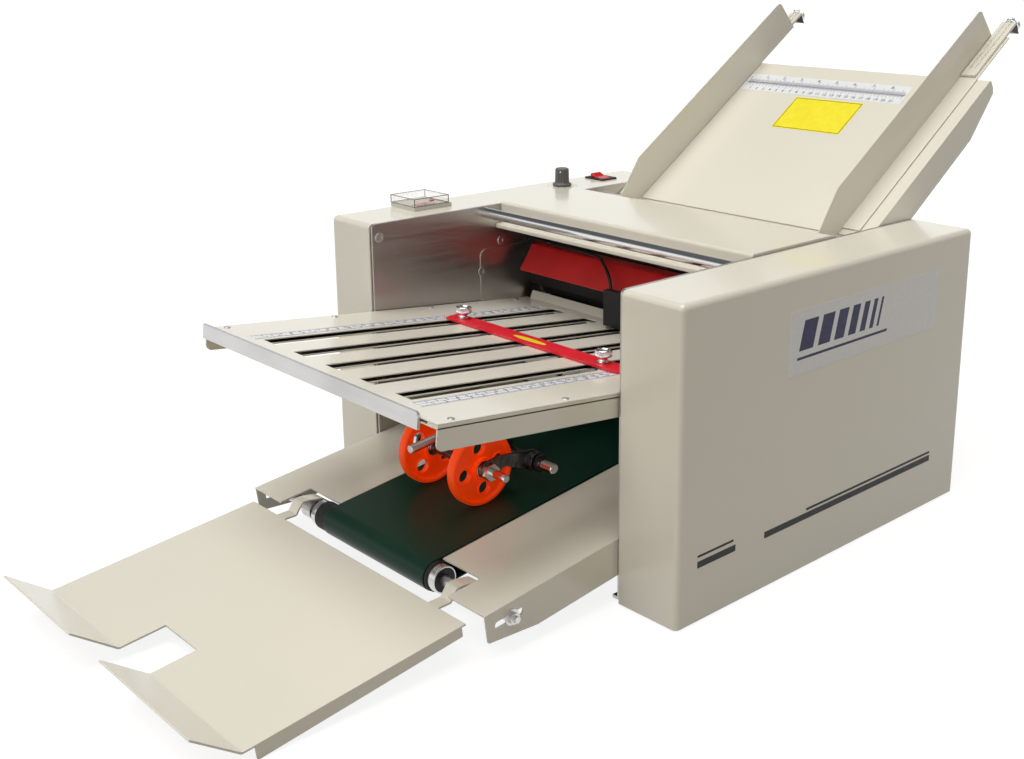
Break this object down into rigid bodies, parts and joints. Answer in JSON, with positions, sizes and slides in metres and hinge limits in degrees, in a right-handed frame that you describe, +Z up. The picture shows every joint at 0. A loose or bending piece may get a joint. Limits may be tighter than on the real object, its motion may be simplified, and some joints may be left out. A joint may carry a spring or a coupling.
{
  "type": "paper folding machine",
  "caption": "Desk paper folding machine: sloping feed table with side guides, fold rollers between two housings, slotted fold plate with red stop bar, belt delivery with press wheels and tray.",
  "frame": {"origin": "centre of the four bench-bolt holes, on the table plane under the feet", "axes": "+X to the machine's right side seen from the delivery end, +Y towards the feed table, +Z up"},
  "size_m": [0.4902, 1.0498, 0.4849],
  "materials": {
    "cream_paint": "smooth glossy powder coat",
    "plain_steel": "brushed",
    "bright_chrome": "polished",
    "aluminium": "turned",
    "black_rubber": "matt",
    "green_rubber": "matt woven belt",
    "black_steel": "satin",
    "black_plastic": "fine grain",
    "red_paint": "glossy",
    "orange_plastic": "smooth",
    "red_plastic": "smooth",
    "clear_plastic": "clear",
    "board_green": "lacquered",
    "print": "printed film"
  },
  "bodies": {
    "frame": {"base_pan": "plain_steel", "belt_bed": "black_steel", "chrome_rail": "bright_chrome", "control_bezels": "black_plastic", "control_board": "board_green", "conveyor_belt": "green_rubber", "cross_rods": "plain_steel", "deck_left": "cream_paint", "deck_right": "cream_paint", "drive_belts": "black_rubber", "feed_table": "cream_paint", "fold_plate_one": "cream_paint", "fold_plate_one_bar": "plain_steel", "fold_plate_one_tray": "cream_paint", "fold_plate_two": "cream_paint", "frame_screws": "plain_steel", "left_cover": "cream_paint", "left_side_plate": "plain_steel", "motor": "black_steel", "paper_sensor": "black_plastic", "power_inlet": "black_plastic", "printed_plates": "print", "red_guard": "red_paint", "right_cover": "cream_paint", "right_side_plate": "plain_steel", "roller_shield": "black_steel", "rubber_feet": "black_rubber", "sensor_cable": "black_plastic", "shaft_bearings": "plain_steel", "top_cover": "cream_paint", "wheel_rail": "bright_chrome"},
    "fold_roller_1": {"fold_roller_1": "black_rubber"},
    "fold_roller_2": {"fold_roller_2": "black_rubber"},
    "fold_roller_3": {"fold_roller_3": "black_rubber"},
    "fold_roller_4": {"fold_roller_4": "black_rubber"},
    "motor_pulley": {"motor_pulley": "aluminium"},
    "feed_roller": {"feed_roller": "black_rubber"},
    "belt_roller_front": {"belt_roller_front": "aluminium"},
    "belt_roller_rear": {"belt_roller_rear": "aluminium"},
    "separator": {"separator_arm": "black_steel"},
    "feed_guide_left": {"feed_guide_left": "cream_paint"},
    "feed_guide_right": {"feed_guide_right": "cream_paint"},
    "extension_bar_left": {"extension_bar_left": "cream_paint"},
    "guide_knob_left": {"guide_knob_left": "bright_chrome"},
    "extension_bar_right": {"extension_bar_right": "cream_paint"},
    "guide_knob_right": {"guide_knob_right": "bright_chrome"},
    "stop_bar_one": {"stop_bar_one": "red_paint"},
    "stop_screw_left": {"stop_screw_left": "bright_chrome"},
    "stop_screw_right": {"stop_screw_right": "bright_chrome"},
    "stop_bar_two": {"stop_bar_two": "red_paint"},
    "stop_screw_rear": {"stop_screw_rear": "bright_chrome"},
    "wheel_carriage": {"wheel_carriage": "bright_chrome"},
    "wheel_arms": {"wheel_arms": "plain_steel"},
    "press_wheel_left": {"press_wheel_left": "orange_plastic"},
    "press_wheel_right": {"press_wheel_right": "orange_plastic"},
    "wing_screw": {"wing_screw": "black_plastic"},
    "delivery_tray": {"delivery_tray": "cream_paint"},
    "counter_lid": {"counter_lid": "clear_plastic"},
    "speed_knob": {"speed_knob": "black_plastic"},
    "rocker_switch": {"rocker_switch": "red_plastic"}
  },
  "joints": [
    {"name": "fold_roller_1_spin", "type": "hinge", "parent": "frame", "child": "fold_roller_1", "pos_m": [0, 0.0187, 0.18829], "axis": [1, 0, 0], "continuous": true},
    {"name": "fold_roller_2_spin", "type": "hinge", "parent": "frame", "child": "fold_roller_2", "pos_m": [0, 0.0232, 0.1563], "axis": [1, 0, 0], "continuous": true},
    {"name": "fold_roller_3_spin", "type": "hinge", "parent": "frame", "child": "fold_roller_3", "pos_m": [0, 0.0232, 0.124], "axis": [1, 0, 0], "continuous": true},
    {"name": "fold_roller_4_spin", "type": "hinge", "parent": "frame", "child": "fold_roller_4", "pos_m": [0, 0.0232, 0.0917], "axis": [1, 0, 0], "continuous": true},
    {"name": "motor_spin", "type": "hinge", "parent": "frame", "child": "motor_pulley", "pos_m": [0, -0.09, 0.07], "axis": [1, 0, 0], "continuous": true},
    {"name": "feed_roller_spin", "type": "hinge", "parent": "frame", "child": "feed_roller", "pos_m": [0, 0.09818, 0.20585], "axis": [1, 0, 0], "continuous": true},
    {"name": "belt_front_spin", "type": "hinge", "parent": "frame", "child": "belt_roller_front", "pos_m": [0, -0.3335, 0.0326], "axis": [1, 0, 0], "continuous": true},
    {"name": "belt_rear_spin", "type": "hinge", "parent": "frame", "child": "belt_roller_rear", "pos_m": [0, -0.02001, 0.07237], "axis": [1, 0, 0], "continuous": true},
    {"name": "separator_lift", "type": "hinge", "parent": "frame", "child": "separator", "pos_m": [0, 0.034, 0.25], "axis": [1, 0, 0], "range_deg": [0, 8], "stiffness_Nm_per_rad": 0.4, "springref_deg": -17.19},
    {"name": "guide_left_slide", "type": "slide", "parent": "frame", "child": "feed_guide_left", "axis": [1, 0, 0], "range_m": [-0.011, 0.087]},
    {"name": "guide_right_slide", "type": "slide", "parent": "frame", "child": "feed_guide_right", "axis": [1, 0, 0], "range_m": [-0.087, 0.011]},
    {"name": "extension_left_slide", "type": "slide", "parent": "feed_guide_left", "child": "extension_bar_left", "axis": [0, 0.831, 0.5563], "range_m": [-0.006, 0.04]},
    {"name": "guide_knob_left_turn", "type": "hinge", "parent": "extension_bar_left", "child": "guide_knob_left", "pos_m": [-0.149, 0.43449, 0.46758], "axis": [0, 0.831, 0.5563], "range_deg": [0, 360]},
    {"name": "extension_right_slide", "type": "slide", "parent": "feed_guide_right", "child": "extension_bar_right", "axis": [0, 0.831, 0.5563], "range_m": [-0.006, 0.04]},
    {"name": "guide_knob_right_turn", "type": "hinge", "parent": "extension_bar_right", "child": "guide_knob_right", "pos_m": [0.149, 0.43449, 0.46758], "axis": [0, 0.831, 0.5563], "range_deg": [0, 360]},
    {"name": "stop_one_slide", "type": "slide", "parent": "frame", "child": "stop_bar_one", "axis": [0, 0.9944, -0.1052], "range_m": [-0.2, 0.1]},
    {"name": "stop_screw_left_turn", "type": "hinge", "parent": "stop_bar_one", "child": "stop_screw_left", "pos_m": [-0.1, -0.15935, 0.18713], "axis": [0, 0.1052, 0.9944], "range_deg": [0, 360]},
    {"name": "stop_screw_right_turn", "type": "hinge", "parent": "stop_bar_one", "child": "stop_screw_right", "pos_m": [0.1, -0.15935, 0.18713], "axis": [0, 0.1052, 0.9944], "range_deg": [0, 360]},
    {"name": "stop_two_slide", "type": "slide", "parent": "frame", "child": "stop_bar_two", "axis": [0, 0.9962, 0.0872], "range_m": [-0.11, 0.05]},
    {"name": "stop_screw_rear_turn", "type": "hinge", "parent": "stop_bar_two", "child": "stop_screw_rear", "pos_m": [0, 0.19543, 0.15527], "axis": [0, -0.0872, 0.9962], "range_deg": [0, 360]},
    {"name": "wheel_carriage_slide", "type": "slide", "parent": "frame", "child": "wheel_carriage", "axis": [0, 0.992, 0.1259], "range_m": [-0.08, 0.06]},
    {"name": "wheel_arms_lift", "type": "hinge", "parent": "wheel_carriage", "child": "wheel_arms", "pos_m": [0, -0.195, 0.09], "axis": [-1, 0, 0], "range_deg": [0, 16]},
    {"name": "press_wheel_left_spin", "type": "hinge", "parent": "wheel_arms", "child": "press_wheel_left", "pos_m": [-0.041, -0.24731, 0.09343], "axis": [1, 0, 0], "continuous": true},
    {"name": "press_wheel_right_spin", "type": "hinge", "parent": "wheel_arms", "child": "press_wheel_right", "pos_m": [0.032, -0.24731, 0.09343], "axis": [1, 0, 0], "continuous": true},
    {"name": "wing_screw_turn", "type": "hinge", "parent": "wheel_carriage", "child": "wing_screw", "pos_m": [0.0048, -0.195, 0.11642], "axis": [1, 0, 0], "range_deg": [0, 360]},
    {"name": "delivery_tray_lift", "type": "hinge", "parent": "frame", "child": "delivery_tray", "pos_m": [0, -0.3335, 0.0326], "axis": [-1, 0, 0], "range_deg": [0, 45]},
    {"name": "counter_lid_open", "type": "hinge", "parent": "frame", "child": "counter_lid", "pos_m": [-0.2224, -0.0934, 0.2876], "axis": [-1, 0, 0], "range_deg": [0, 95]},
    {"name": "speed_knob_turn", "type": "hinge", "parent": "frame", "child": "speed_knob", "pos_m": [-0.212, 0.081, 0.282], "axis": [0, 0, 1], "range_deg": [-150, 150]},
    {"name": "rocker_tilt", "type": "hinge", "parent": "frame", "child": "rocker_switch", "pos_m": [-0.2175, 0.15, 0.2815], "axis": [0, -1, 0], "range_deg": [0, 14]}
  ],
  "couplings": [
    {"joint": "fold_roller_1_spin", "follows": "fold_roller_3_spin", "ratio": 1},
    {"joint": "fold_roller_2_spin", "follows": "fold_roller_3_spin", "ratio": -1},
    {"joint": "fold_roller_4_spin", "follows": "fold_roller_3_spin", "ratio": -1},
    {"joint": "motor_spin", "follows": "fold_roller_3_spin", "ratio": 1},
    {"joint": "feed_roller_spin", "follows": "fold_roller_3_spin", "ratio": -1},
    {"joint": "belt_front_spin", "follows": "fold_roller_3_spin", "ratio": -1},
    {"joint": "belt_rear_spin", "follows": "fold_roller_3_spin", "ratio": -1},
    {"joint": "press_wheel_left_spin", "follows": "fold_roller_3_spin", "ratio": 0.40571},
    {"joint": "press_wheel_right_spin", "follows": "fold_roller_3_spin", "ratio": 0.40571}
  ]
}
